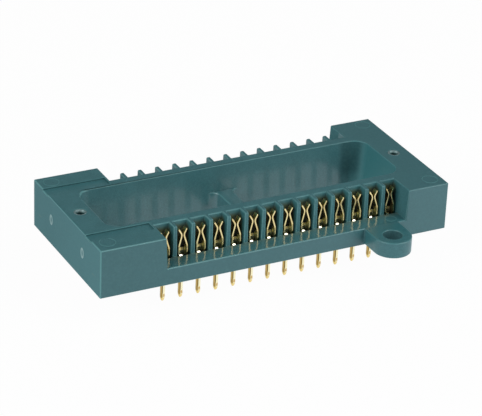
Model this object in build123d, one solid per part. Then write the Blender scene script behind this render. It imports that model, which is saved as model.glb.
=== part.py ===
from build123d import *
import math
import os

# A socket adapter for a 28-lead chip: one moulded housing, two rows of
# formed spring contacts with solder tails, and two threaded metal inserts.
# Lengths are in millimetres. X runs along the contact rows, Y across them.
# The origin is under the middle of the part, level with the tail tips.

# Contact grid
pitch = 2.54
contacts_per_row = 14
row_spacing = 15.24

# Housing, overall
left_end_length = 9.1
right_end_length = 6.02
body_height = 6.74
ledge_height = 2.4
ledge_reach = 3.31
tail_reach = 4.1
draft_angle = 3.0

# Pockets that hold the contacts, and the ribs between them
pocket_floor_height = 1.8
pocket_back_offset = 0.72
rib_front_offset = 0.78
rib_top_thickness = 0.52
rib_foot_thickness = 0.66
rib_corner_radius = 0.22
end_pocket_relief = 0.12

# Well in the middle, and the web across its floor
side_wall_thickness = 1.43
well_left_wall = 3.62
well_right_wall = 4.11
well_corner_radius = 2.0
web_height = 3.0
web_thickness = 2.06
web_offset = -0.1
web_fillet_radius = 1.25

# Mounting ears, one at each of two opposite corners
ear_radius = 2.57
ear_hole_diameter = 2.6
ear_centre_reach = 2.89
ear_gap = 1.32
ear_lift = 0.2

# Shallow label recesses in the top of the longer end
label_width = 1.9
label_depth = 0.25
label_end_gap = 0.3
label_centre_y = 7.0

# Threaded inserts and the holes that hold them
insert_diameter = 1.7
insert_bore = 1.04
insert_length = 4.0
insert_countersink = 0.14
insert_drop = 0.03
insert_left_inset = 1.92
insert_right_inset = 2.14
insert_clearance = 0.01
insert_hole_extra = 1.1

# Contacts, formed from one thickness of sheet
sheet = 0.2
contact_width = 1.36
contact_back_clearance = 0.1
contact_front_offset = 0.5
contact_seat_clearance = 0.01
channel_height = 1.15
channel_corner_bevel = 0.15
leaf_straight_height = 1.75
leaf_neck_gap = 0.09
leaf_tip_spread = 1.02
leaf_tip_drop = 0.8
leaf_tip_rise = 0.81
leaf_tip_width = 0.76
leaf_bend_radius = 1.3
leaf_neck_radius = 0.5
shelf_width = 0.92
shelf_heel = 0.24
shelf_toe_bevel = 0.1

# Solder tails
tail_width = 0.58
tail_depth = 0.5
tail_groove_width = 0.14
tail_groove_depth = 0.3
tail_corner_bevel = 0.1
tail_taper_length = 0.85
tail_tip_width = 0.16
tail_slot_clearance = 0.02

# Sizes and places that follow from the values above
recess_length = contacts_per_row * pitch - rib_top_thickness + 2 * end_pocket_relief
body_length = left_end_length + recess_length + right_end_length
row_y = row_spacing / 2
body_width = row_spacing + 2 * ledge_reach
body_half_width = body_width / 2
pocket_back_y = row_y - pocket_back_offset
rib_front_y = row_y + rib_front_offset
left_x = -body_length / 2
right_x = body_length / 2
recess_left_x = left_x + left_end_length
recess_right_x = right_x - right_end_length
row_centre_x = (recess_left_x + recess_right_x) / 2
underside_z = tail_reach
top_z = underside_z + body_height
ledge_z = underside_z + ledge_height
pocket_floor_z = underside_z + pocket_floor_height
web_z = underside_z + web_height
web_x = web_offset
well_left_x = left_x + well_left_wall
well_right_x = right_x - well_right_wall
well_half_width = pocket_back_y - side_wall_thickness
ear_offset_x = recess_length / 2 - ear_gap - ear_radius
ear_y = body_half_width + ear_centre_reach
insert_left_x = left_x + insert_left_inset
insert_right_x = right_x - insert_right_inset
tail_length = pocket_floor_height + contact_seat_clearance + tail_reach
cut_margin = 1.0


def contact_x(index):
    """Place of a contact along its row, counted from the left."""
    return row_centre_x + (index - (contacts_per_row - 1) / 2) * pitch


def drafted(z):
    """How far a drafted wall has moved in at height z, from where it is at the top face."""
    return (top_z - z) * math.tan(math.radians(draft_angle))


def block(x0, x1, y0, y1, z0, z1):
    """A box between two corners."""
    return Pos((x0 + x1) / 2, (y0 + y1) / 2, (z0 + z1) / 2) * Box(x1 - x0, y1 - y0, z1 - z0)


def rounded_outline(x0, x1, half_width, left_radius, right_radius, z):
    """A rectangle at height z whose left and right corners have their own radii."""
    outline = Pos((x0 + x1) / 2, 0) * Rectangle(x1 - x0, 2 * half_width)
    outline = fillet(outline.vertices().group_by(Axis.X)[0], left_radius)
    outline = fillet(outline.vertices().group_by(Axis.X)[-1], right_radius)
    return Pos(0, 0, z) * outline


def well_outline(z):
    """The well's plan at height z, above the web."""
    inset = drafted(z)
    radius = well_corner_radius - inset
    half_width = well_half_width - inset
    return rounded_outline(well_left_x + inset, well_right_x - inset, half_width, radius, radius, z)


def window_outline(z, side):
    """The plan of the window on one side of the web at height z, below the web's top."""
    inset = drafted(z)
    below_web = inset - drafted(web_z)
    half_width = well_half_width - inset
    end_radius = well_corner_radius - inset
    web_radius = web_fillet_radius - below_web
    web_side = web_x + side * (web_thickness / 2 + below_web)
    if side < 0:
        return rounded_outline(well_left_x + inset, web_side, half_width, end_radius, web_radius, z)
    return rounded_outline(web_side, well_right_x - inset, half_width, web_radius, end_radius, z)


def well():
    """The opening down the middle of the housing, without the web."""
    above = loft([well_outline(web_z), well_outline(top_z + cut_margin)], ruled=True)
    windows = []
    for side in (-1, 1):
        outlines = [window_outline(underside_z - cut_margin, side), window_outline(web_z, side)]
        windows.append(loft(outlines, ruled=True))
    return [above] + windows


def side_recess():
    """The open strip above one ledge, behind which the pockets stand, on the +Y side."""
    inset = drafted(ledge_z)
    above = -drafted(top_z + cut_margin)
    outline = Polygon(
        (recess_left_x + inset, ledge_z),
        (recess_right_x - inset, ledge_z),
        (recess_right_x + above, top_z + cut_margin),
        (recess_left_x - above, top_z + cut_margin),
        align=None,
    )
    depth = body_half_width + cut_margin - pocket_back_y
    strip = extrude(Plane.XZ * outline, amount=-depth)
    strip = Pos(0, pocket_back_y, 0) * strip
    trough = block(
        recess_left_x + inset, recess_right_x - inset,
        pocket_back_y, rib_front_y,
        pocket_floor_z, ledge_z,
    )
    return [strip, trough]


def rib(x):
    """One rib between two pockets, on the +Y side, joined to the wall behind it."""
    outline = Polygon(
        (-rib_foot_thickness / 2, pocket_floor_z - sheet),
        (rib_foot_thickness / 2, pocket_floor_z - sheet),
        (rib_top_thickness / 2, top_z),
        (-rib_top_thickness / 2, top_z),
        align=None,
    )
    root = side_wall_thickness / 2
    depth = rib_front_y - pocket_back_y + root
    solid = extrude(Plane.XZ * outline, amount=-depth)
    nose = solid.edges().filter_by(Axis.X).group_by(Axis.Z)[-1].sort_by(Axis.Y)[-1]
    solid = fillet(nose, rib_corner_radius)
    return Pos(x, pocket_back_y - root, 0) * solid


def ear():
    """The mounting ear at the +X end of the -Y ledge, without its hole."""
    centre = Pos(row_centre_x + ear_offset_x, -ear_y, underside_z + ear_lift)
    thickness = ledge_height - ear_lift
    neck_length = ear_centre_reach + ledge_reach / 2
    round_end = Circle(ear_radius)
    neck = Pos(0, neck_length / 2) * Rectangle(2 * ear_radius, neck_length)
    return centre * extrude(round_end + neck, amount=thickness)


def ear_hole():
    """The screw hole through that ear."""
    depth = body_height + 2 * cut_margin
    return Pos(row_centre_x + ear_offset_x, -ear_y, underside_z) * Cylinder(ear_hole_diameter / 2, depth)


def turned(shape):
    """The same shape half a turn round the middle of the housing."""
    return Rot(0, 0, 180) * shape


def across(shape):
    """The same shape mirrored to the other side of the housing."""
    return mirror(shape, about=Plane.XZ)


def housing():
    """The moulded housing, in one piece with its ribs, web and ears."""
    body = block(left_x, right_x, -body_half_width, body_half_width, underside_z, top_z)
    for cut in side_recess():
        body -= cut
        body -= across(cut)
    ribs = [rib((contact_x(i) + contact_x(i + 1)) / 2) for i in range(contacts_per_row - 1)]
    body += ribs
    body += [across(one) for one in ribs]
    for cut in well():
        body -= cut
    body += [ear(), turned(ear())]
    body -= [ear_hole(), turned(ear_hole())]
    label_right_x = recess_left_x - label_end_gap
    for side in (-1, 1):
        middle = side * label_centre_y
        y0 = middle - label_width / 2
        y1 = middle + label_width / 2
        body -= block(left_x - cut_margin, label_right_x, y0, y1, top_z - label_depth, top_z + cut_margin)
    hole_depth = insert_drop + insert_length + insert_hole_extra
    for x in (insert_left_x, insert_right_x):
        radius = insert_diameter / 2 + insert_clearance
        hole = Cylinder(radius, hole_depth + cut_margin, align=(Align.CENTER, Align.CENTER, Align.MIN))
        body -= Pos(x, 0, top_z - hole_depth) * hole
    slot_width = tail_width + 2 * tail_slot_clearance
    slot_depth = tail_depth + 2 * tail_slot_clearance
    slots = []
    for side in (-1, 1):
        for i in range(contacts_per_row):
            slot = Box(slot_width, slot_depth, 2 * pocket_floor_height + cut_margin)
            slots.append(Pos(contact_x(i), side * row_y, underside_z) * slot)
    body -= slots
    return body


def pointed(width, tip_width):
    """A flat outline of the tail's full length, width wide, that narrows to the tip."""
    half = width / 2
    return Polygon(
        (-half, sheet / 2),
        (half, sheet / 2),
        (half, tail_taper_length - tail_length),
        (tip_width / 2, -tail_length),
        (-tip_width / 2, -tail_length),
        (-half, tail_taper_length - tail_length),
        align=None,
    )


def tail():
    """The solder tail below a contact, folded to a grooved section, with its tip pinched to a point."""
    section = chamfer(Rectangle(tail_width, tail_depth).vertices(), tail_corner_bevel)
    shaft = Pos(0, 0, -tail_length) * extrude(section, amount=tail_length + sheet / 2)
    front_view = extrude(Plane.XZ * pointed(tail_width, tail_tip_width), amount=tail_depth, both=True)
    side_view = extrude(Plane.YZ * pointed(tail_depth, tail_tip_width), amount=tail_width, both=True)
    groove_end_z = tail_taper_length - tail_length
    groove = block(
        -tail_groove_width / 2, tail_groove_width / 2,
        tail_depth / 2 - tail_groove_depth, tail_depth,
        groove_end_z, -sheet,
    )
    return (shaft & front_view & side_view) - groove


def leaf():
    """The +X spring leaf with its side of the channel below it."""
    web_back_y = contact_back_clearance - pocket_back_offset
    tip_z = body_height - pocket_floor_height - leaf_tip_drop
    neck_z = tip_z - leaf_tip_rise
    line_x = (contact_width - sheet) / 2
    neck_x = (leaf_neck_gap + sheet) / 2
    path = [(line_x, 0), (line_x, leaf_straight_height), (neck_x, neck_z)]
    path.append((leaf_tip_spread / 2, tip_z))
    middle_line = FilletPolyline(*path, radius=[leaf_bend_radius, leaf_neck_radius])
    end_view = trace(middle_line.edges(), line_width=sheet)
    middle_y = (contact_front_offset + web_back_y) / 2
    outline = Polygon(
        (web_back_y, 0),
        (contact_front_offset, 0),
        (contact_front_offset, leaf_straight_height),
        (middle_y + leaf_tip_width / 2, tip_z + sheet),
        (middle_y - leaf_tip_width / 2, tip_z + sheet),
        (web_back_y + sheet, channel_height),
        (web_back_y, channel_height),
        align=None,
    )
    side_view = extrude(Plane.YZ * outline, amount=contact_width, both=True)
    return extrude(Plane.XZ * end_view, amount=contact_width, both=True) & side_view


def contact():
    """One formed contact: a channel, two spring leaves and a solder tail, seated on z = 0, facing +Y."""
    half = contact_width / 2
    web_back_y = contact_back_clearance - pocket_back_offset
    web_front_y = web_back_y + sheet
    right_leaf = leaf()
    web = block(-half, half, web_back_y, web_front_y, 0, channel_height)
    channel = right_leaf + mirror(right_leaf, about=Plane.YZ) + web
    rear_corners = channel.edges().filter_by(Axis.Z).group_by(Axis.Y)[0]
    channel = chamfer(rear_corners, channel_corner_bevel)
    shelf = block(-shelf_width / 2, shelf_width / 2, web_back_y + sheet / 2, tail_depth / 2, 0, sheet)
    corner = Polygon((0, 0), (shelf_heel, 0), (0, shelf_heel), align=None)
    heel = Pos(0, web_front_y, sheet) * extrude(Plane.YZ * corner, amount=shelf_width / 2, both=True)
    toe = shelf.edges().filter_by(Axis.X).group_by(Axis.Z)[-1].sort_by(Axis.Y)[-1]
    shelf = chamfer(toe, shelf_toe_bevel)
    return channel + shelf + heel + tail()


def insert():
    """One threaded insert, standing on z = 0, countersunk at its mouth."""
    radius = insert_diameter / 2
    bore = insert_bore / 2
    outline = Polygon(
        (bore, 0),
        (radius, 0),
        (radius, insert_length),
        (bore + insert_countersink, insert_length),
        (bore, insert_length - insert_countersink),
        align=None,
    )
    return revolve(Plane.XZ * outline, axis=Axis.Z)


def save(shape, name):
    """Write one piece to its own file."""
    shape.label = name
    export_step(shape, "parts/" + name + ".step")


def main():
    """Build every piece where it belongs and write it."""
    os.makedirs("parts", exist_ok=True)
    save(housing(), "housing")
    one_contact = contact()
    for i in range(contacts_per_row):
        seat = Pos(contact_x(i), row_y, pocket_floor_z + contact_seat_clearance)
        rear = seat * one_contact
        save(rear, f"contact_rear_{i + 1:02d}")
        save(across(rear), f"contact_front_{i + 1:02d}")
    one_insert = insert()
    insert_z = top_z - insert_drop - insert_length
    save(Pos(insert_left_x, 0, insert_z) * one_insert, "insert_left")
    save(Pos(insert_right_x, 0, insert_z) * one_insert, "insert_right")


if __name__ == "__main__":
    main()
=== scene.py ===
"""Looks of the socket adapter: a teal moulded housing, two rows of gold contacts and two metal inserts."""

import logging
import math
from dataclasses import dataclass
from enum import Enum
from functools import cached_property
from typing import Any, Sequence

import bmesh
import bpy
from mathutils import Matrix, Vector


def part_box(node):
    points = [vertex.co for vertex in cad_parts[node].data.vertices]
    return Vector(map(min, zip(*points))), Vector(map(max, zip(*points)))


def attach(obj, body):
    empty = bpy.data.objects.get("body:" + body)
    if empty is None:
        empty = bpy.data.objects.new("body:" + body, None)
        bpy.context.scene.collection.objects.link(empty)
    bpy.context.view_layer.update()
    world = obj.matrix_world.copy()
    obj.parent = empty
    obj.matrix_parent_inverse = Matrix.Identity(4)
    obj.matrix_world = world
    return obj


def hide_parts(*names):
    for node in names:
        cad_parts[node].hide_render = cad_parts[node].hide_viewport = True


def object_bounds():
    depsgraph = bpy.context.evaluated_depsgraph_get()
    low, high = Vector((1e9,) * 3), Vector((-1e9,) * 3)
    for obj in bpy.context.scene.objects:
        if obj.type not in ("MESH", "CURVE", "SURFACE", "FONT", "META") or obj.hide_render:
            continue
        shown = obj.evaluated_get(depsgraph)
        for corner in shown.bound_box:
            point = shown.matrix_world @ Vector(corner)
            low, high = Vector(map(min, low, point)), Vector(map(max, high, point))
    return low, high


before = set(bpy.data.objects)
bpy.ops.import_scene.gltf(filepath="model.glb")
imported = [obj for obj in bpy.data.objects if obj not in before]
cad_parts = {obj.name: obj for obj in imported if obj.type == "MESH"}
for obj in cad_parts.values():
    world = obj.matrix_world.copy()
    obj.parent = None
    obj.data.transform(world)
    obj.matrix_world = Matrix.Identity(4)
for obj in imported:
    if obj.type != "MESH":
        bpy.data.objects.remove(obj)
cad_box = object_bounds()

LOG = logging.getLogger("adapter")
MM = 0.001
BODY = "root"
IMAGE_WIDTH = 482
EASED = "eased"
SMOOTH = {"interpolation_type": "SMOOTHSTEP"}
QUARTERS = (0.0, 0.25, 0.5, 0.75, 1.0)

# The grid of contacts, in millimetres
PITCH = 2.54
ROW_Y = 7.62
FIRST_X = -14.97

Colour = tuple[float, float, float]
Point2 = tuple[float, float]
Point3 = tuple[float, float, float]
Range = tuple[float, float]
Rise = tuple[float, float]
Span = tuple[float, float, float, float]


@dataclass(frozen=True)
class Signal:
    """A node's output that takes part in Python sums."""

    maker: "NodeMaker"
    socket: bpy.types.NodeSocket

    def __add__(self, other: Any) -> "Signal":
        """Adds a signal or number."""
        return self.maker.maths("ADD", self, other)

    def __radd__(self, other: Any) -> "Signal":
        """Adds this to a number."""
        return self.maker.maths("ADD", other, self)

    def __sub__(self, other: Any) -> "Signal":
        """Takes a signal or number away."""
        return self.maker.maths("SUBTRACT", self, other)

    def __rsub__(self, other: Any) -> "Signal":
        """Takes this away from a number."""
        return self.maker.maths("SUBTRACT", other, self)

    def __mul__(self, other: Any) -> "Signal":
        """Multiplies by a signal or number."""
        return self.maker.maths("MULTIPLY", self, other)

    def __rmul__(self, other: Any) -> "Signal":
        """Multiplies a number by this."""
        return self.maker.maths("MULTIPLY", other, self)

    def __abs__(self) -> "Signal":
        """Drops the sign."""
        return self.maker.maths("ABSOLUTE", self)

    def maths(self, operation: str, *others: Any) -> "Signal":
        """Works out another step of maths, with this as its first value."""
        return self.maker.maths(operation, self, *others)

    def larger(self, other: Any) -> "Signal":
        """The larger of this and another."""
        return self.maths("MAXIMUM", other)

    def ramp(self, low: float, high: float, start: float = 0.0, end: float = 1.0) -> "Signal":
        """Goes smoothly from start to end while this goes from low to high."""
        inputs = {"Value": self, "From Min": low, "From Max": high, "To Min": start, "To Max": end}
        return self.maker.signal(self.maker.node("ShaderNodeMapRange", SMOOTH, inputs))

    def rise(self, places: Rise, start: float = 0.0) -> "Signal":
        """Goes from start to 1 while this length goes from the first to the second place, in millimetres."""
        return self.ramp(places[0] * MM, places[1] * MM, start)

    def span(self, places: Span) -> "Signal":
        """Rises from 0 to 1 between the first two places and falls back between the last two."""
        return self.rise(places[:2]) * self.rise((places[3], places[2]))

    def toward(self, colour: Any, share: Any) -> "Signal":
        """This colour mixed towards another one by a share."""
        return self.maker.mix_colour(share, self, colour)


class NodeMaker:
    """Adds nodes to one tree."""

    def __init__(self, tree: bpy.types.NodeTree) -> None:
        """Keeps the tree and empties it."""
        self.tree = tree
        tree.nodes.clear()

    def node(self, kind: str, settings: dict[str, Any] | None = None,
             inputs: dict[Any, Any] | None = None) -> bpy.types.Node:
        """Makes one node.

        Args:
            kind: The node's type, such as ShaderNodeMath.
            settings: What is set on the node itself, before its sockets.
            inputs: By name or number, what each socket holds, or the node or signal that it comes from.

        Returns:
            The new node.
        """
        made = self.tree.nodes.new(kind)
        for key, value in (settings or {}).items():
            setattr(made, key, value)
        for key, value in (inputs or {}).items():
            socket = made.inputs[key]
            if isinstance(value, Signal):
                self.tree.links.new(value.socket, socket)
            elif isinstance(value, bpy.types.Node):
                self.tree.links.new(value.outputs[0], socket)
            else:
                socket.default_value = value
        return made

    def signal(self, node: bpy.types.Node, output: Any = 0) -> Signal:
        """Wraps one output of a node."""
        return Signal(self, node.outputs[output])

    def maths(self, operation: str, *values: Any) -> Signal:
        """Works out one step of maths on signals and numbers."""
        return self.signal(self.node("ShaderNodeMath", {"operation": operation}, dict(enumerate(values))))

    def object_point(self) -> Signal:
        """The point on the piece, in metres in the part's frame."""
        return self.signal(self.node("ShaderNodeTexCoord"), "Object")

    def noise(self, point: Signal, size: float, detail: float = 2.0) -> Signal:
        """Soft random values around a half, in patches of a size in millimetres."""
        inputs = {"Vector": point, "Scale": 1 / (size * MM), "Detail": detail}
        return self.signal(self.node("ShaderNodeTexNoise", inputs=inputs))

    def mix_colour(self, share: Any, first: Any, second: Any) -> Signal:
        """Mixes two colours.

        Args:
            share: How much of the second one there is.
            first: A colour or signal.
            second: A colour or signal.

        Returns:
            The mixed colour.
        """
        inputs = {0: share}
        for number, colour in ((6, first), (7, second)):
            inputs[number] = colour if isinstance(colour, Signal) else (*colour, 1.0)
        return self.signal(self.node("ShaderNodeMix", {"data_type": "RGBA"}, inputs), 2)

    def bump(self, height: Signal, distance: float, strength: float = 1.0) -> Signal:
        """A bumped normal from a pattern, of which a 1 stands as high as the distance in millimetres."""
        inputs = {"Height": height, "Distance": distance * MM, "Strength": strength}
        return self.signal(self.node("ShaderNodeBump", inputs=inputs))


@dataclass(frozen=True)
class Place:
    """A shaded point on the part, in metres."""

    point: Signal
    x: Signal
    y: Signal
    z: Signal

    @classmethod
    def read(cls, maker: NodeMaker) -> "Place":
        """Reads the point that is being shaded.

        Args:
            maker: Where the nodes are added.

        Returns:
            The point, split into its three numbers.
        """
        point = maker.object_point()
        parts = maker.node("ShaderNodeSeparateXYZ", inputs={0: point})
        return cls(point, *(maker.signal(parts, number) for number in range(3)))

    @cached_property
    def depth(self) -> Signal:
        """How far it lies below the part's top."""
        return cad_box[1].z - self.z

    @cached_property
    def across(self) -> Signal:
        """How far it lies from the plane midway between the two rows."""
        return abs(self.y)

    @cached_property
    def out(self) -> Signal:
        """How far it lies outside the middle line of its row of contacts."""
        return self.across - ROW_Y * MM

    @cached_property
    def side(self) -> Signal:
        """How far it lies to the right of its contact's middle, seen from outside the row."""
        steps = (self.x - FIRST_X * MM) * (1 / (PITCH * MM))
        return (steps - steps.maths("ROUND")) * (-PITCH * MM) * self.y.maths("SIGN")


class Finish:
    """What the finishes share: making a material from one Principled shader."""

    name: str

    def sockets(self, maker: NodeMaker) -> dict[str, Any]:
        """What each of the shader's sockets gets."""
        raise NotImplementedError

    def material(self) -> bpy.types.Material:
        """Makes the material once.

        Returns:
            The finish as a material.
        """
        found = bpy.data.materials.get(self.name)
        if found is not None:
            return found
        made = bpy.data.materials.new(self.name)
        made.use_nodes = True
        maker = NodeMaker(made.node_tree)
        shader = maker.node("ShaderNodeBsdfPrincipled", inputs=self.sockets(maker))
        maker.node("ShaderNodeOutputMaterial", inputs={0: shader})
        return made


@dataclass(frozen=True)
class OuterFaces:
    """Whether a point lies on the moulding's long sides, its ends or its top: 1 there, 0 elsewhere."""

    side: Signal
    end: Signal
    top: Signal

    @cached_property
    def any(self) -> Signal:
        """On any of them."""
        return self.side.larger(self.top).larger(self.end)


@dataclass(frozen=True)
class MouldedPlastic(Finish):
    """Glass-filled moulding compound: satin outside, glossier on the walls that the core formed.

    Places and sizes are in millimetres. The value kept as EASED is 0 on plain faces and 1 on eased edges,
    which get a painted highlight. In a mark of the mould it is the mark's lightness, which is above 1, and
    above 2 for a gate's scar.
    """

    name: str = "teal_moulding"
    colour: Colour = (0.026, 0.124, 0.137)
    pale: Colour = (0.041, 0.162, 0.177)
    fibre_colour: Colour = (0.07, 0.21, 0.22)
    # Painted highlight for the eased edges and the pins' rings
    edge_highlight: Colour = (0.13, 0.34, 0.34)
    scar: Colour = (0.25, 0.39, 0.39)
    # Painted light: long sides darker to the left and lighter to the right, left end lighter towards the
    # front, top darker to the right, the well's right end wall lighter
    lit_front_left: Colour = (0.03, 0.121, 0.133)
    lit_front_right: Colour = (0.048, 0.143, 0.157)
    lit_left_rear: Colour = (0.03, 0.139, 0.153)
    lit_left_front: Colour = (0.041, 0.166, 0.181)
    lit_top_right: Colour = (0.029, 0.124, 0.137)
    lit_end_wall: Colour = (0.04, 0.185, 0.2)
    # Painted shade at the foot of the label recesses' walls
    label_shade: Colour = (0.008, 0.06, 0.066)
    # Painted shade for the well's right-hand corners and the ear holes, where little light comes
    shade_colour: Colour = (0.01, 0.064, 0.072)
    # Painted reflection of the gold contacts in the ledges, tan
    reflection_colour: Colour = (0.17, 0.2, 0.12)
    # Painted shade at the back of the pockets, greener near the top and deeper below
    upper_pocket_shade: Colour = (0.042, 0.062, 0.03)
    lower_pocket_shade: Colour = (0.031, 0.037, 0.026)

    # How strong each tint, painted light, painted shade, painted highlight and painted reflection is
    edge_share: float = 0.63
    edge_share_right: float = 0.2
    ring_highlight_share: float = 0.8
    lit_share: float = 0.75
    shade_share: float = 0.7
    reflection_share: float = 0.3
    streak_share: float = 0.6
    fibre_share: float = 0.16
    band_share: float = 0.6
    cloud_share: float = 0.35
    corner_foot_share: float = 0.4
    band_foot_share: float = 0.4
    left_gloss: float = 0.4

    # Where a random or stored value takes effect
    tone_range: Range = (0.35, 0.65)
    fibre_range: Range = (0.4, 0.72)
    band_range: Range = (-0.1, 0.95)
    scar_range: Range = (1.9, 2.1)

    # Surface
    top_roughness: float = 0.5
    side_roughness: float = 0.36
    end_roughness: float = 0.7
    sheltered_roughness: float = 0.45
    grain_roughness: float = 0.1
    coat_roughness: float = 0.16
    refraction: float = 1.57
    cloud_size: float = 2.4
    grain_size: float = 0.16
    grain_height: float = 0.004
    grain_strength: float = 0.6
    inner_grain: float = 0.15
    fibre_size: float = 0.4

    # Outer faces
    side_across: Rise = (10.75, 10.85)
    end_inset: Rise = (0.2, 0.1)
    top_depth: Rise = (0.06, 0.01)
    ear_across: Rise = (11.4, 11.2)
    front_x: Rise = (-20.0, 20.0)
    left_y: Rise = (8.0, -10.0)
    left_x: Rise = (0.0, -1.0)
    top_right_x: Rise = (8.0, 23.0)

    # The well
    well_across: Rise = (6.9, 6.85)
    well_depth: Rise = (0.12, 0.3)
    well_x: Span = (-20.6, -19.4, 17.2, 18.2)
    well_left_x: Rise = (-15.0, -13.4)
    end_wall_x: Rise = (18.9, 19.6)
    wall_across: Rise = (6.0, 5.9)
    corner_x: Span = (17.2, 18.4, 20.9, 21.2)
    corner_across: Span = (4.2, 5.1, 5.9, 6.0)
    corner_depth: Rise = (0.06, 0.2)
    corner_z: Rise = (5.0, 7.0)
    band_pitch: float = 2.44
    band_start: float = -15.5
    band_shift: float = 0.4
    band_shift_x: Rise = (0.0, -2.0)
    band_top_z: Rise = (9.0, 8.0)
    band_foot_z: Rise = (4.6, 6.0)
    band_across: Rise = (5.7, 5.6)

    # The pockets, ledges, label recesses and ear holes
    pocket_across: Span = (6.85, 6.87, 8.45, 8.5)
    dark_across: Span = (6.84, 6.86, 7.0, 7.95)
    dark_x: Rise = (20.0, 19.8)
    dark_z: Rise = (10.6, 9.75)
    pocket_shade_z: Rise = (9.8, 8.7)
    rib_across: Rise = (8.45, 8.55)
    rib_z: Rise = (6.6, 6.7)
    ledge_across: Rise = (8.2, 8.3)
    ledge_z: Rise = (6.56, 6.54)
    reflection_across: Rise = (9.7, 8.5)
    reflection_back: Rise = (8.3, 8.35)
    reflection_z: Span = (6.4, 6.45, 6.54, 6.56)
    streak_side: float = 0.72
    streak_reach: Rise = (0.45, 0.15)
    streak_across: Span = (8.36, 8.44, 8.5, 9.3)
    label_z: Span = (10.6, 10.62, 10.7, 10.74)
    label_across: Span = (5.9, 6.0, 8.0, 8.1)
    label_x: Rise = (-15.9, -16.0)
    ear_hole: Point2 = (15.3, 13.81)
    ear_hole_edge: Rise = (1.4, 1.34)
    ear_hole_z: Rise = (6.45, 6.35)

    def faces(self, at: Place) -> OuterFaces:
        """Tells the outer faces apart.

        Args:
            at: The shaded point.

        Returns:
            Which of them it lies on.
        """
        far_x = cad_box[1].x
        end = abs(at.x).ramp(far_x - self.end_inset[0] * MM, far_x - self.end_inset[1] * MM)
        return OuterFaces(at.across.rise(self.side_across), end, at.depth.rise(self.top_depth))

    def pocket_shade(self, at: Place) -> Signal:
        """How much painted shade a pocket gets: 1 low down at its back, 0 at its mouth and top."""
        inside = at.across.span(self.dark_across) * abs(at.x).rise(self.dark_x)
        return inside * at.z.rise(self.dark_z)

    def label_foot_shade(self, at: Place) -> Signal:
        """Painted shade at the foot of the walls round the label recesses."""
        return at.z.span(self.label_z) * at.across.span(self.label_across) * at.x.rise(self.label_x)

    def well_corners(self, at: Place) -> Signal:
        """How little light comes to the well's corners at its right end."""
        plan = at.x.span(self.corner_x) * at.across.span(self.corner_across)
        return plan * at.depth.rise(self.corner_depth) * at.z.rise(self.corner_z, self.corner_foot_share)

    def ear_holes(self, at: Place) -> Signal:
        """Finds the holes in the ears, where little light comes.

        Args:
            at: The shaded point.

        Returns:
            1 in a hole, 0 elsewhere.
        """
        along = -1.0 * at.x * at.y.maths("SIGN") - self.ear_hole[0] * MM
        off = at.across - self.ear_hole[1] * MM
        away = (along * along + off * off).maths("SQRT")
        return away.rise(self.ear_hole_edge) * at.z.rise(self.ear_hole_z)

    def contact_reflection(self, at: Place) -> Signal:
        """Paints a tan reflection of the contacts onto the ledges by them, stronger in a streak to the left
        of each.

        Args:
            at: The shaded point.

        Returns:
            How much of the painted reflection there is.
        """
        wide = at.across.rise(self.reflection_across) * self.reflection_share
        streak = abs(at.side + self.streak_side * MM).rise(self.streak_reach)
        streak = streak * at.across.span(self.streak_across) * self.streak_share
        return (wide + streak) * at.across.rise(self.reflection_back) * at.z.span(self.reflection_z)

    def bands(self, at: Place) -> Signal:
        """Makes the upright duller bands on the well's long walls, one for each contact.

        Args:
            at: The shaded point.

        Returns:
            How much of the gloss a band takes away.
        """
        start = self.band_start * MM + self.band_shift * MM * at.x.rise(self.band_shift_x)
        wave = ((at.x - start) * (2 * math.pi / (self.band_pitch * MM))).maths("COSINE")
        tall = at.z.rise(self.band_top_z) * at.z.rise(self.band_foot_z, self.band_foot_share)
        return wave.ramp(*self.band_range) * tall * at.across.rise(self.band_across) * self.band_share

    def gloss(self, at: Place, faces: OuterFaces) -> Signal:
        """Puts a coat's gloss on the well's walls and the ledges.

        Args:
            at: The shaded point.
            faces: Which outer faces it lies on.

        Returns:
            The coat's weight.
        """
        well = at.across.rise(self.well_across) * at.depth.rise(self.well_depth)
        well = well * at.x.span(self.well_x) * at.x.rise(self.well_left_x, self.left_gloss)
        ledge = at.z.rise(self.ledge_z) * at.across.rise(self.ledge_across)
        free = (1.0 - faces.any) * (1.0 - at.across.span(self.pocket_across))
        return free * well.larger(ledge) * (1.0 - self.bands(at))

    def light_tinted(self, plain: Signal, at: Place, faces: OuterFaces) -> Signal:
        """Paints light onto the outer faces and the well's end wall, each lighter or darker by how the lamps
        fall on it.

        Args:
            plain: The plastic's colour.
            at: The shaded point.
            faces: Which outer faces it lies on.

        Returns:
            The colour with its painted light.
        """
        mix = plain.maker.mix_colour
        # Painted light on the outer faces and the well's end wall
        front = mix(at.x.rise(self.front_x), self.lit_front_left, self.lit_front_right)
        left = mix(at.y.rise(self.left_y), self.lit_left_rear, self.lit_left_front)
        plain = plain.toward(front, faces.side * at.across.rise(self.ear_across) * self.lit_share)
        plain = plain.toward(left, faces.end * at.x.rise(self.left_x) * self.lit_share)
        plain = plain.toward(self.lit_top_right, faces.top * at.x.rise(self.top_right_x) * self.lit_share)
        inner_end = at.x.rise(self.end_wall_x) * at.across.rise(self.wall_across) * (1.0 - faces.any)
        return plain.toward(self.lit_end_wall, inner_end)

    def recessed(self, plain: Signal, at: Place, shadowed: Signal) -> Signal:
        """Paints shade into the recesses, lays the painted reflection of the contacts, and lays the fibres.

        Args:
            plain: The colour so far.
            at: The shaded point.
            shadowed: Where little light comes.

        Returns:
            The colour with all these.
        """
        maker = plain.maker
        fibres = maker.noise(at.point, self.fibre_size, 3.0)
        # Painted shade at the foot of the label recesses
        plain = plain.toward(self.label_shade, self.label_foot_shade(at))
        # Painted shade in the well's corners and the ear holes
        plain = plain.toward(self.shade_colour, shadowed * self.shade_share)
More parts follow.
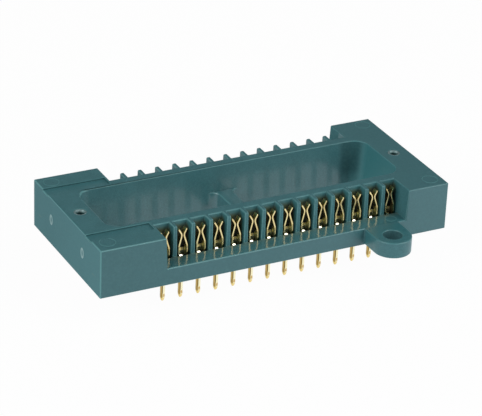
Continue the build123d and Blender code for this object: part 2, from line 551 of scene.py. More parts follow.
        # Painted reflection of the contacts on the ledges
        plain = plain.toward(self.reflection_colour, self.contact_reflection(at))
        plain = plain.toward(self.fibre_colour, fibres.ramp(*self.fibre_range) * self.fibre_share)
        # Painted shade at the back of the pockets
        low = maker.mix_colour(at.z.rise(self.pocket_shade_z), self.upper_pocket_shade, self.lower_pocket_shade)
        return plain.toward(low, self.pocket_shade(at))

    def edged(self, plain: Signal, at: Place) -> Signal:
        """Lays painted highlight on the eased edges and the pins' rings, and lightens the gates' scars.

        Args:
            plain: The colour so far.
            at: The shaded point.

        Returns:
            The final colour.
        """
        maker = plain.maker
        eased = maker.signal(maker.node("ShaderNodeAttribute", {"attribute_name": EASED}), "Fac")
        # Painted highlight on the eased edges, weaker towards the right end, and on the pins' rings
        lit = at.x.ramp(cad_box[0].x, cad_box[1].x, self.edge_share, self.edge_share_right)
        share = (eased.maths("MINIMUM", 1.0) * lit).larger((eased - 1.0) * self.ring_highlight_share)
        return plain.toward(self.edge_highlight, share).toward(self.scar, eased.ramp(*self.scar_range))

    def sockets(self, maker: NodeMaker) -> dict[str, Any]:
        """Works out colour, gloss and grain of the plastic.

        Args:
            maker: Where the nodes are added.

        Returns:
            The shader's sockets.
        """
        at = Place.read(maker)
        faces = self.faces(at)
        shadowed = self.well_corners(at).larger(self.ear_holes(at))
        cloud = maker.noise(at.point, self.cloud_size)
        speck = maker.noise(at.point, self.grain_size)
        tone = (cloud * self.cloud_share + speck * (1.0 - self.cloud_share)).ramp(*self.tone_range)
        plain = self.light_tinted(maker.mix_colour(tone, self.colour, self.pale), at, faces)
        roughness = self.top_roughness + faces.side * (self.side_roughness - self.top_roughness)
        roughness = roughness + faces.end * (self.end_roughness - self.top_roughness)
        roughness = roughness + (speck - 0.5) * self.grain_roughness
        ribs = at.across.rise(self.rib_across) * at.z.rise(self.rib_z) * (1.0 - faces.any)
        height = speck * (self.inner_grain + faces.any * (1.0 - self.inner_grain))
        return {
            "Base Color": self.edged(self.recessed(plain, at, shadowed), at),
            "Roughness": roughness + ribs.larger(shadowed) * self.sheltered_roughness,
            "IOR": self.refraction,
            "Coat Weight": self.gloss(at, faces),
            "Coat Roughness": self.coat_roughness,
            "Normal": maker.bump(height, self.grain_height, self.grain_strength),
        }


@dataclass(frozen=True)
class GoldPlate(Finish):
    """Gold plating over formed sheet: bright, faintly drawn along the strip and duller in patches. Its colour
    holds painted shade in the folds and on the last front contact, painted highlight on the web and the toe,
    and painted reflection on the tails.

    Places are in millimetres: side is measured from a contact's middle, and out from its row's middle line.
    """

    name: str = "gold_plating"
    colour: Colour = (0.9, 0.73, 0.36)
    dull: Colour = (0.78, 0.6, 0.27)
    # Painted shade inside the channel and on the left flange's front edge
    shaded: Colour = (0.42, 0.44, 0.29)
    # Painted highlight for the web's upper strip, on top of the real light its leaning bump catches
    strip: Colour = (1.0, 0.86, 0.42)
    # Painted highlight, whiter, for the shelf's toe, on top of the real glint of the right-hand lamp
    toe: Colour = (0.95, 0.9, 0.72)
    # Painted shadow for the front row's last contact, which the housing's right end shades
    shadowed: Colour = (0.3, 0.25, 0.12)
    # Painted reflection on the tails: dim on the left flank, dimmer low down, bright to the right
    dim_tail_reflection: Colour = (0.5, 0.34, 0.105)
    bright_tail_reflection: Colour = (1.0, 0.88, 0.55)
    low_tail_reflection: Colour = (0.4, 0.26, 0.065)
    seam: Colour = (0.13, 0.065, 0.01)
    tip: Colour = (0.92, 0.68, 0.26)
    worn: Colour = (0.62, 0.37, 0.11)
    edge_share: float = 0.7
    last_shadow_share: float = 0.5
    tip_share: float = 0.8
    worn_share: float = 0.55

    # Where a random value takes effect
    patch_range: Range = (0.35, 0.7)
    worn_range: Range = (0.35, 0.6)

    # Surface
    roughness: float = 0.2
    shaded_roughness: float = 0.3
    strip_roughness: float = 0.15
    patch_roughness: float = 0.12
    line_roughness: float = 0.1
    patch_size: float = 0.7
    line_size: float = 0.05
    line_stretch: float = 0.12
    line_height: float = 0.00115
    lip_height: float = 0.22
    worn_size: float = 0.16

    # The channel, with painted highlight on its web's strip and on the shelf's toe
    channel_z: Rise = (5.8, 5.9)
    behind_out: Rise = (0.06, 0.02)
    behind_z: Rise = (6.66, 6.48)
    flank_side: Rise = (0.36, 0.42)
    flank_out: Rise = (0.46, 0.38)
    flank_z: Rise = (7.8, 7.4)
    edge_side: Rise = (-0.44, -0.5)
    edge_z: Span = (6.6, 6.7, 6.95, 7.02)
    web_out: Rise = (-0.3, -0.38)
    lip_z: Rise = (7.0, 6.56)
    strip_z: Rise = (6.56, 6.7)
    toe_out: Rise = (0.02, 0.08)
    toe_side: Rise = (0.42, 0.36)
    toe_z: Rise = (6.5, 6.4)
    last_x: Rise = (16.8, 17.0)
    last_y: Rise = (0.0, -1.0)

    # The tail
    tail_z: Rise = (5.2, 4.8)
    low_z: Rise = (1.35, 0.95)
    front_side: Rise = (-0.16, 0.0)
    worn_side: Rise = (-0.1, 0.0)
    worn_z: Span = (0.52, 0.72, 0.95, 1.15)
    tip_z: Rise = (0.62, 0.4)
    seam_side: float = 0.12
    seam_reach: Rise = (0.085, 0.035)
    seam_out: Rise = (0.0, 0.1)

    def channel_shade(self, at: Place) -> Signal:
        """Finds the plating inside the channel, behind its front edges and the shelf's bright toe.

        Args:
            at: The shaded point.

        Returns:
            How much painted shade it gets.
        """
        behind = at.out.rise(self.behind_out) * at.z.rise(self.behind_z)
        flank = abs(at.side).rise(self.flank_side) * at.z.rise(self.flank_z) * at.out.rise(self.flank_out)
        # Painted shade on the left flange's front edge
        edge = at.z.span(self.edge_z) * at.side.rise(self.edge_side) * self.edge_share
        return at.z.rise(self.channel_z) * behind.larger(flank).larger(edge)

    def tail_colour(self, at: Place) -> Signal:
        """Colours the tail with a painted reflection, dim on its left flank and dimmer low down, bright to
        its right, with a brown seam down its middle and wear by the tip.

        Args:
            at: The shaded point.

        Returns:
            The tail's colour.
        """
        maker = at.point.maker
        # Painted reflection: dim on the left flank and low down, bright to the right
        low = at.z.rise(self.low_z)
        left = maker.mix_colour(low, self.dim_tail_reflection, self.low_tail_reflection)
        patch = at.z.span(self.worn_z) * at.side.rise(self.worn_side)
        patch = patch * maker.noise(at.point, self.worn_size).ramp(*self.worn_range, self.worn_share)
        seam = abs(at.side + self.seam_side * MM).rise(self.seam_reach) * at.out.rise(self.seam_out)
        colour = left.toward(self.bright_tail_reflection, at.side.rise(self.front_side)).toward(self.worn, patch)
        colour = colour.toward(self.tip, at.z.rise(self.tip_z) * self.tip_share)
        return colour.toward(self.seam, seam * (1.0 - low))

    def sockets(self, maker: NodeMaker) -> dict[str, Any]:
        """Works out colour, gloss and drawing marks of the plating.

        Args:
            maker: Where the nodes are added.

        Returns:
            The shader's sockets.
        """
        at = Place.read(maker)
        along = {"Vector": at.point, "Scale": (1.0, 1.0, self.line_stretch)}
        lines = maker.noise(maker.signal(maker.node("ShaderNodeMapping", inputs=along)), self.line_size)
        patches = maker.noise(at.point, self.patch_size, 3.0)
        shade = self.channel_shade(at)
        web = at.out.rise(self.web_out)
        # Painted highlight on the web's strip, with real light from the bump that leans it back
        strip = web * at.z.rise(self.strip_z)
        # Painted highlight on the shelf's toe
        toe = at.out.rise(self.toe_out) * at.z.rise(self.toe_z) * abs(at.side).rise(self.toe_side)
        # Painted shadow on the front row's last contact
        last = at.x.rise(self.last_x) * at.y.rise(self.last_y) * self.last_shadow_share
        plating = maker.mix_colour(patches.ramp(*self.patch_range), self.colour, self.dull)
        plating = plating.toward(self.strip, strip).toward(self.shaded, shade)
        plating = plating.toward(self.toe, toe).toward(self.shadowed, last)
        roughness = self.roughness + (shade * self.shaded_roughness).larger(strip * self.strip_roughness)
        uneven = (patches - 0.5) * self.patch_roughness + (lines - 0.5) * self.line_roughness
        return {
            "Base Color": plating.toward(self.tail_colour(at), at.z.rise(self.tail_z)),
            "Metallic": 1.0,
            "Roughness": roughness + uneven,
            "Normal": maker.bump(lines * self.line_height + web * at.z.rise(self.lip_z), self.lip_height),
        }


@dataclass(frozen=True)
class TurnedMetal(Finish):
    """Dulled turned metal with fine marks left by the tool, and painted shade down in the bore."""

    name: str = "turned_metal"
    colour: Colour = (0.34, 0.46, 0.46)
    stain: Colour = (0.22, 0.34, 0.34)
    # Painted shade down in the bore
    dark: Colour = (0.05, 0.13, 0.13)
    roughness: float = 0.6
    patch_roughness: float = 0.2
    patch_size: float = 0.4
    patch_range: Range = (0.4, 0.75)
    mark_size: float = 0.06
    mark_height: float = 0.002
    mark_strength: float = 0.4
    dark_depth: Rise = (0.2, 0.38)

    def sockets(self, maker: NodeMaker) -> dict[str, Any]:
        """Works out colour, gloss and tool marks of the metal.

        Args:
            maker: Where the nodes are added.

        Returns:
            The shader's sockets.
        """
        at = Place.read(maker)
        patches = maker.noise(at.point, self.patch_size, 3.0)
        marks = maker.noise(at.point, self.mark_size)
        metal = maker.mix_colour(patches.ramp(*self.patch_range), self.colour, self.stain)
        return {
            "Base Color": metal.toward(self.dark, at.depth.rise(self.dark_depth)),
            "Metallic": 1.0,
            "Roughness": self.roughness + (patches - 0.5) * self.patch_roughness,
            "Normal": maker.bump(marks, self.mark_height, self.mark_strength),
        }


@dataclass(frozen=True)
class Paper(Finish):
    """The white sheet under the part: white to the camera and in reflections, with the part's shadow kept."""

    name: str = "white_paper"
    colour: Colour = (0.86, 0.86, 0.86)
    darker: float = 0.98
    grain_size: float = 1.5
    white: Colour = (1.0, 1.0, 1.0)
    mirrored: Colour = (1.0, 1.06, 1.12)
    seen_share: float = 0.97
    mirrored_share: float = 0.88

    def material(self) -> bpy.types.Material:
        """Makes the paper, a diffuse sheet mixed with a white glow for the camera's and mirror rays.

        Returns:
            The paper's material.
        """
        made = bpy.data.materials.new(self.name)
        made.use_nodes = True
        maker = NodeMaker(made.node_tree)
        path = maker.node("ShaderNodeLightPath")
        camera = maker.signal(path, "Is Camera Ray")
        mirror = maker.signal(path, "Is Glossy Ray") + maker.signal(path, "Is Transmission Ray")
        grain = maker.noise(maker.object_point(), self.grain_size)
        tone = maker.mix_colour(grain, self.colour, tuple(c * self.darker for c in self.colour))
        sheet = maker.node("ShaderNodeBsdfDiffuse", inputs={"Color": tone})
        white = maker.mix_colour(camera, self.mirrored, self.white)
        glow = maker.node("ShaderNodeEmission", inputs={"Color": white, "Strength": 1.0})
        glowing = (camera * self.seen_share).larger(mirror * self.mirrored_share)
        mixed = maker.node("ShaderNodeMixShader", inputs={0: glowing, 1: sheet, 2: glow})
        maker.node("ShaderNodeOutputMaterial", inputs={0: mixed})
        return made


def link(name: str, data: bpy.types.ID) -> bpy.types.Object:
    """Puts a mesh, light or camera in the scene.

    Args:
        name: The object's name.
        data: What it shows. A mesh is already in its place.

    Returns:
        The new object, at the origin.
    """
    made = bpy.data.objects.new(name, data)
    bpy.context.scene.collection.objects.link(made)
    return made


def finished(form: bmesh.types.BMesh, name: str) -> bpy.types.Mesh:
    """Turns a form into a mesh and lets the form go.

    Args:
        form: The points and faces.
        name: The mesh's name.

    Returns:
        The new mesh.
    """
    made = bpy.data.meshes.new(name)
    form.to_mesh(made)
    form.free()
    return made


def join_rings(form: bmesh.types.BMesh, rings: Sequence[Sequence[bmesh.types.BMVert]]) -> None:
    """Fills the strips between closed rings of points.

    Args:
        form: Where the faces are added.
        rings: The rings in order, all with as many points.
    """
    for here, there in zip(rings, rings[1:]):
        for i in range(len(here)):
            j = (i + 1) % len(here)
            form.faces.new((here[i], there[i], there[j], here[j]))


def baked(piece: bpy.types.Object) -> bpy.types.Object:
    """Turns what a piece's modifiers make into its plain mesh.

    Args:
        piece: The piece, with its modifiers.

    Returns:
        The same piece without modifiers.
    """
    graph = bpy.context.evaluated_depsgraph_get()
    mesh = bpy.data.meshes.new_from_object(piece.evaluated_get(graph), depsgraph=graph)
    mesh.name = piece.name
    piece.modifiers.clear()
    piece.data = mesh
    return piece


def declare(piece: bpy.types.Object, nodes: Sequence[str]) -> None:
    """Tells the frame what a piece rides on and stands for, and logs its triangles.

    Args:
        piece: The finished piece.
        nodes: The CAD nodes that it stands for.
    """
    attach(piece, BODY)
    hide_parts(*nodes)
    triangles = sum(len(face.vertices) - 2 for face in piece.data.polygons)
    LOG.info("%s: %d triangles, for %d nodes", piece.name, triangles, len(nodes))


def rounded_path(points: Sequence[Point2], radii: Sequence[float], steps: int) -> list[Point2]:
    """Follows a bent line whose corners are arcs.

    Args:
        points: The corners, with the two ends.
        radii: The radius at each inner corner.
        steps: How many pieces each arc is cut into.

    Returns:
        The points along the line, ends included.
    """
    path = [points[0]]
    for before, corner, after, radius in zip(points, points[1:], points[2:], radii):
        here = Vector(corner)
        back = (Vector(before) - here).normalized()
        ahead = (Vector(after) - here).normalized()
        half = back.angle(ahead) / 2
        centre = here + (back + ahead).normalized() * (radius / math.sin(half))
        start = here + back * (radius / math.tan(half)) - centre
        end = here + ahead * (radius / math.tan(half)) - centre
        turn = math.atan2(start.x * end.y - start.y * end.x, start.dot(end))
        for step in range(steps + 1):
            angle = turn * step / steps
            turned = Vector((start.x * math.cos(angle) - start.y * math.sin(angle),
                             start.x * math.sin(angle) + start.y * math.cos(angle)))
            path.append(tuple(centre + turned))
    path.append(points[-1])
    return path


class SheetMesh:
    """Collects the middle surface of a bent sheet, patch by patch."""

    weld = 0.001

    def __init__(self) -> None:
        """Starts with no faces."""
        self.form = bmesh.new()

    def patch(self, rows: Sequence[Sequence[Vector]]) -> None:
        """Adds a grid of points as faces.

        Args:
            rows: The points, row by row, all rows as long.
        """
        grid = [[self.form.verts.new(point) for point in row] for row in rows]
        for low, high in zip(grid, grid[1:]):
            for a, b, c, d in zip(low, low[1:], high[1:], high):
                self.form.faces.new((a, b, c, d))

    def mesh(self, name: str) -> bpy.types.Mesh:
        """Joins the patches.

        Args:
            name: The mesh's name.

        Returns:
            The sheet's middle surface, in millimetres.
        """
        bmesh.ops.remove_doubles(self.form, verts=self.form.verts, dist=self.weld)
        bmesh.ops.recalc_face_normals(self.form, faces=self.form.faces)
        return finished(self.form, name)


@dataclass
class Contact:
    """One formed contact, in millimetres: seated on z = 0, its tail at y = 0, facing +Y."""

    sheet: float = 0.18
    half_width: float = 0.58
    web_y: float = -0.52
    front_y: float = 0.5
    corner_radius: float = 0.2
    channel_height: float = 1.06
    channel_rows_z: Point3 = (0.0, 0.4, 0.75)
    shoulder_height: float = 1.75
    shoulder_radius: float = 1.3
    neck_height: float = 3.33
    neck_half_gap: float = 0.125
    neck_radius: float = 0.62
    tip_height: float = 4.1
    tip_half_spread: float = 0.57
    tip_back_y: float = -0.44
    tip_front_y: float = 0.32
    shelf_half_width: float = 0.26
    shelf_offset: float = 0.2
    shelf_top: float = 0.34
    shelf_lap: float = 0.12
    shelf_gap: float = 0.004
    facet: float = 0.12
    shelf_front_y: float = 0.24
    heel_radius: float = 0.06
    toe_radius: float = 0.03
    tail_top: float = -0.01
    tail_tip: float = -5.91
    tail_half_width: float = 0.27
    tail_half_depth: float = 0.24
    tail_corner: float = 0.1
    pinch_length: float = 0.7
    pinch_lead: float = 0.25
    pinch_shares: tuple[float, ...] = (0.0, 0.15, 0.3, 0.45, 0.6, 0.74, 0.86, 0.95, 1.0)
    bluntness: float = 0.93
    edge_radius: float = 0.035
    edge_angle: float = math.radians(50)
    sharp_angle: float = math.radians(38)
    channel_steps: int = 5
    leaf_steps: int = 8
    shelf_steps: int = 4
    tail_steps: int = 4

    def channel_rows(self, side: int) -> list[list[Vector]]:
        """Lays out half the channel's lower part, from its middle to its front edge.

        Args:
            side: 1 for the half towards +X, -1 for the other.

        Returns:
            The grid's points, row by row.
        """
        flange_back = self.web_y + self.corner_radius
        corners = [(0.0, self.web_y), (self.half_width, self.web_y), (self.half_width, flange_back)]
        columns = rounded_path(corners, [self.corner_radius], self.channel_steps)[:-1]
        for share in QUARTERS[1:]:
            columns.append((self.half_width, flange_back + share * (self.front_y - flange_back)))
        heights = (*self.channel_rows_z, self.channel_height)
        return [[Vector((side * x, y, z)) for x, y in columns] for z in heights]

    def leaf_rows(self, side: int) -> list[list[Vector]]:
        """Lays out one spring leaf above the channel.

        Args:
            side: 1 for the leaf towards +X, -1 for the other.

        Returns:
            The grid's points, row by row.
        """
        corners = [(self.half_width, self.channel_height), (self.half_width, self.shoulder_height),
                   (self.neck_half_gap, self.neck_height), (self.tip_half_spread, self.tip_height)]
        flange_back = self.web_y + self.corner_radius
        rows = []
        for x, z in rounded_path(corners, [self.shoulder_radius, self.neck_radius], self.leaf_steps):
            rise = max(0.0, (z - self.shoulder_height) / (self.tip_height - self.shoulder_height))
            back = flange_back + (self.tip_back_y - flange_back) * rise
            front = self.front_y + (self.tip_front_y - self.front_y) * rise
            rows.append([Vector((side * x, back + share * (front - back), z)) for share in QUARTERS])
        return rows

    def shelf_rows(self) -> list[list[Vector]]:
        """Lays out the shelf, from the channel's web forward and down to the tail's top.

        Returns:
            The grid's points, row by row.
        """
        back = self.web_y + self.shelf_gap
        corners = [(back, self.shelf_top + self.shelf_lap), (back, self.shelf_top),
                   (self.shelf_front_y - self.facet, self.shelf_top),
                   (self.shelf_front_y, self.shelf_top - self.facet), (self.shelf_front_y, 0.0)]
        line = rounded_path(corners, [self.heel_radius, self.toe_radius, self.toe_radius], self.shelf_steps)
        places = [self.shelf_offset + self.shelf_half_width * (2 * share - 1) for share in QUARTERS]
        return [[Vector((x, y, z)) for x in places] for y, z in line]

    def body(self) -> bpy.types.Mesh:
        """Thickens the channel, leaves and shelf into one sheet with softened edges.

        Returns:
            The sheet's mesh.
        """
        form = SheetMesh()
        for side in (-1, 1):
            form.patch(self.channel_rows(side))
            form.patch(self.leaf_rows(side))
        form.patch(self.shelf_rows())
        holder = link("contact_sheet", form.mesh("contact_sheet"))
        solidify = holder.modifiers.new("thickness", "SOLIDIFY")
        solidify.thickness = self.sheet
        solidify.offset = 0.0
        solidify.use_even_offset = True
        edges = holder.modifiers.new("edges", "BEVEL")
        edges.width = self.edge_radius
        edges.segments = 2
        edges.limit_method = "ANGLE"
        edges.angle_limit = self.edge_angle
        mesh = baked(holder).data
        bpy.data.objects.remove(holder)
        return mesh

    def tail_section(self, scale: float) -> list[Point2]:
        """Draws the tail's outline at one height, an oblong with rounded corners.

        Args:
            scale: Its size as a share of the full tail's.

        Returns:
            The outline's points, in order.
        """
        width, depth = self.tail_half_width * scale, self.tail_half_depth * scale
        corners = [(0.0, depth), (width, depth), (width, -depth), (0.0, -depth)]
        right = rounded_path(corners, [self.tail_corner * scale] * 2, self.tail_steps)
        return right + [(-x, y) for x, y in reversed(right[1:-1])]

    def tail(self) -> bpy.types.Mesh:
        """Makes the solder tail, pinched to a blunt point.

        Returns:
            The tail's mesh.
        """
        form = bmesh.new()
        pinch_top = self.tail_tip + self.pinch_length
        stations = [(self.tail_top, 1.0), (pinch_top + self.pinch_lead, 1.0)]
        for share in self.pinch_shares:
            scale = math.sqrt(1.0 - (self.bluntness * share) ** 2)
            stations.append((pinch_top - share * self.pinch_length, scale))
        rings = []
        for z, scale in stations:
            rings.append([form.verts.new((x, y, z)) for x, y in self.tail_section(scale)])
        join_rings(form, rings)
        form.faces.new(rings[0])
        form.faces.new(rings[-1])
        bmesh.ops.recalc_face_normals(form, faces=form.faces)
        return finished(form, "tail")

    def mesh(self) -> bpy.types.Mesh:
        """Joins the sheet and the tail.

        Returns:
            The whole contact, in metres.
        """
        form = bmesh.new()
        form.from_mesh(self.body())
        form.from_mesh(self.tail())
        bmesh.ops.transform(form, matrix=Matrix.Scale(MM, 4), verts=form.verts)
        made = finished(form, "contact")
        made.shade_smooth()
        made.set_sharp_from_angle(angle=self.sharp_angle)
        return made


class GeometryTree:
    """A geometry tree with named inputs."""

    def __init__(self, name: str, inputs: dict[str, str]) -> None:
        """Makes the tree's group sockets.

        Args:
            name: The tree's name.
            inputs: The name and kind of each input, such as Float.
        """
        self.tree = bpy.data.node_groups.new(name, "GeometryNodeTree")
        self.maker = NodeMaker(self.tree)
        for way in ("INPUT", "OUTPUT"):
            self.tree.interface.new_socket("Geometry", in_out=way, socket_type="NodeSocketGeometry")
        for key, kind in inputs.items():
            self.tree.interface.new_socket(key, in_out="INPUT", socket_type="NodeSocket" + kind)
        self.given = self.maker.node("NodeGroupInput")

    def value(self, name: str) -> Signal:
        """The named input, for use inside the tree."""
        return self.maker.signal(self.given, name)

    def finish(self, geometry: bpy.types.Node, finish: Finish) -> None:
        """Ends the tree: realizes what is placed and gives it its material.

        Args:
            geometry: The node that has made the shape.
            finish: The finish for all of it.
        """
        real = self.maker.node("GeometryNodeRealizeInstances", inputs={0: geometry})
        dressed = self.maker.node("GeometryNodeSetMaterial", inputs={
            "Geometry": real, "Material": finish.material()})
        self.maker.node("NodeGroupOutput", inputs={0: dressed})

    def put_on(self, piece: bpy.types.Object, values: dict[str, Any]) -> bpy.types.Object:
        """Runs the tree on a piece and keeps the result as its plain mesh.

        Args:
            piece: The piece whose mesh goes in.
            values: What each named input gets.

        Returns:
            The same piece.
        """
        modifier = piece.modifiers.new(self.tree.name, "NODES")
        modifier.node_group = self.tree
        for item in self.tree.interface.items_tree:
            if item.in_out == "INPUT" and item.name in values:
                modifier[item.identifier] = values[item.name]
        return baked(piece)


class Side(Enum):
    """The two contact rows, with the turn that makes a contact face outwards."""

    FRONT = ("front", math.pi)
    REAR = ("rear", 0.0)

    @property
    def label(self) -> str:
        """The row's word in the nodes' names."""
        return self.value[0]

    @property
    def turn(self) -> float:
        """How far a contact is turned about the upright axis."""
        return self.value[1]


@dataclass
class ContactRows:
    """Both rows of contacts, placed from the frame."""

    contact: Contact
    finish: GoldPlate
    seat_z: float = 5.91 * MM
    wobble: float = 0.012
    seed: int = 5

    def tree(self) -> GeometryTree:
        """Makes the tree that repeats one contact along a row.

        Returns:
            The tree.
        """
        made = GeometryTree("contact_row", {
            "Count": "Int", "Start": "Vector", "Step": "Vector", "Turn": "Float", "Wobble": "Float",
            "Seed": "Int"})
        maker = made.maker
        line = maker.node("GeometryNodeMeshLine", {"mode": "OFFSET"}, {
            "Count": made.value("Count"), "Start Location": made.value("Start"),
            "Offset": made.value("Step")})
        chance = maker.node("FunctionNodeRandomValue", {"data_type": "FLOAT"}, {
            2: made.value("Wobble") * -1.0, 3: made.value("Wobble"), "Seed": made.value("Seed")})
        turn = made.value("Turn") + maker.signal(chance, 1)
        placed = maker.node("GeometryNodeInstanceOnPoints", inputs={
            "Points": line, "Instance": made.value("Geometry"),
            "Rotation": maker.node("ShaderNodeCombineXYZ", inputs={2: turn})})
        made.finish(placed, self.finish)
        return made

    def build(self) -> None:
        """Makes one piece for each row and says what it stands for."""
        tree = self.tree()
        mesh = self.contact.mesh()
        for side in Side:
            nodes = sorted(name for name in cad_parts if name.startswith("contact_" + side.label))
            first, last = (sum(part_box(name), Vector()) / 2 for name in (nodes[0], nodes[-1]))
            piece = link("contacts_" + side.label, mesh.copy())
            tree.put_on(piece, {
                "Count": len(nodes),
                "Start": (first.x, math.copysign(ROW_Y * MM, first.y), self.seat_z),
                "Step": ((last.x - first.x) / (len(nodes) - 1), 0.0, 0.0),
                "Turn": side.turn,
                "Wobble": self.wobble,
                "Seed": self.seed,
            })
            declare(piece, nodes)


@dataclass(frozen=True)
class Mark:
    """A shallow ring left in the moulding by the mould, in millimetres."""

    centre: Point3
    radius: float
    facing: Point3 = (0.0, 0.0, 0.0)
    stretch: float = 1.0


PINS = tuple(Mark(place, radius) for place, radius in (
    ((-23.41, -8.95, 10.84), 1.05), ((-23.41, 9.3, 10.84), 1.05),
    ((23.44, -9.0, 10.84), 1.05), ((23.44, 9.4, 10.84), 1.05),
    ((17.34, -9.7, 6.5), 0.73)))
GATES = tuple(Mark(place, 0.33, (0.0, math.pi / 2, 0.0), 1.8) for place in (
    (-25.31, -5.15, 7.8), (-25.31, 5.0, 7.7)))


@dataclass
class MouldMarks:
    """Rings that ejector pins or gates left, as fine grooves cut by a geometry tree."""

    marks: tuple[Mark, ...]
    line_width: float
    lightness: float
    steps: int = 40
    line_sides: int = 6

    def points(self) -> bpy.types.Mesh:
        """Sets one vertex for each ring, with its size and direction as attributes.

        Returns:
            The mesh of these vertices.
        """
        mesh = bpy.data.meshes.new("mark_points")
        mesh.from_pydata([[c * MM for c in mark.centre] for mark in self.marks], [], [])
        size = mesh.attributes.new("size", "FLOAT_VECTOR", "POINT")
        facing = mesh.attributes.new("facing", "FLOAT_VECTOR", "POINT")
        for i, mark in enumerate(self.marks):
            radius = mark.radius * MM
            size.data[i].vector = (radius * mark.stretch, radius, 1.0)
            facing.data[i].vector = mark.facing
        return mesh

    def tree(self) -> GeometryTree:
        """Makes the tree that sets a thin tube round each mark.

        Returns:
            The tree.
        """
        made = GeometryTree("mould_marks", {"Line": "Float"})
        maker = made.maker
        size, facing = (
            maker.node("GeometryNodeInputNamedAttribute", {"data_type": "FLOAT_VECTOR"}, {"Name": name})
            for name in ("size", "facing"))
        ring = maker.node("GeometryNodeCurvePrimitiveCircle", inputs={
            "Resolution": self.steps, "Radius": 1.0})
        placed = maker.node("GeometryNodeInstanceOnPoints", inputs={
            "Points": made.value("Geometry"), "Instance": ring, "Rotation": facing, "Scale": size})
        real = maker.node("GeometryNodeRealizeInstances", inputs={0: placed})
        section = maker.node("GeometryNodeCurvePrimitiveCircle", inputs={
            "Resolution": self.line_sides, "Radius": made.value("Line")})
        made.finish(maker.node("GeometryNodeCurveToMesh", inputs={0: real, 1: section}), MouldedPlastic())
        return made

    def cutter(self) -> bpy.types.Object:
        """Makes the rings, ready to be cut out of the moulding.

        Returns:
            One object with all of them, its faces marked by their lightness.
        """
        piece = link("mark_cutter", self.points())
        self.tree().put_on(piece, {"Line": self.line_width / 2})
        light = piece.data.attributes.new(EASED, "FLOAT", "FACE")
        light.data.foreach_set("value", [self.lightness] * len(piece.data.polygons))
        return piece


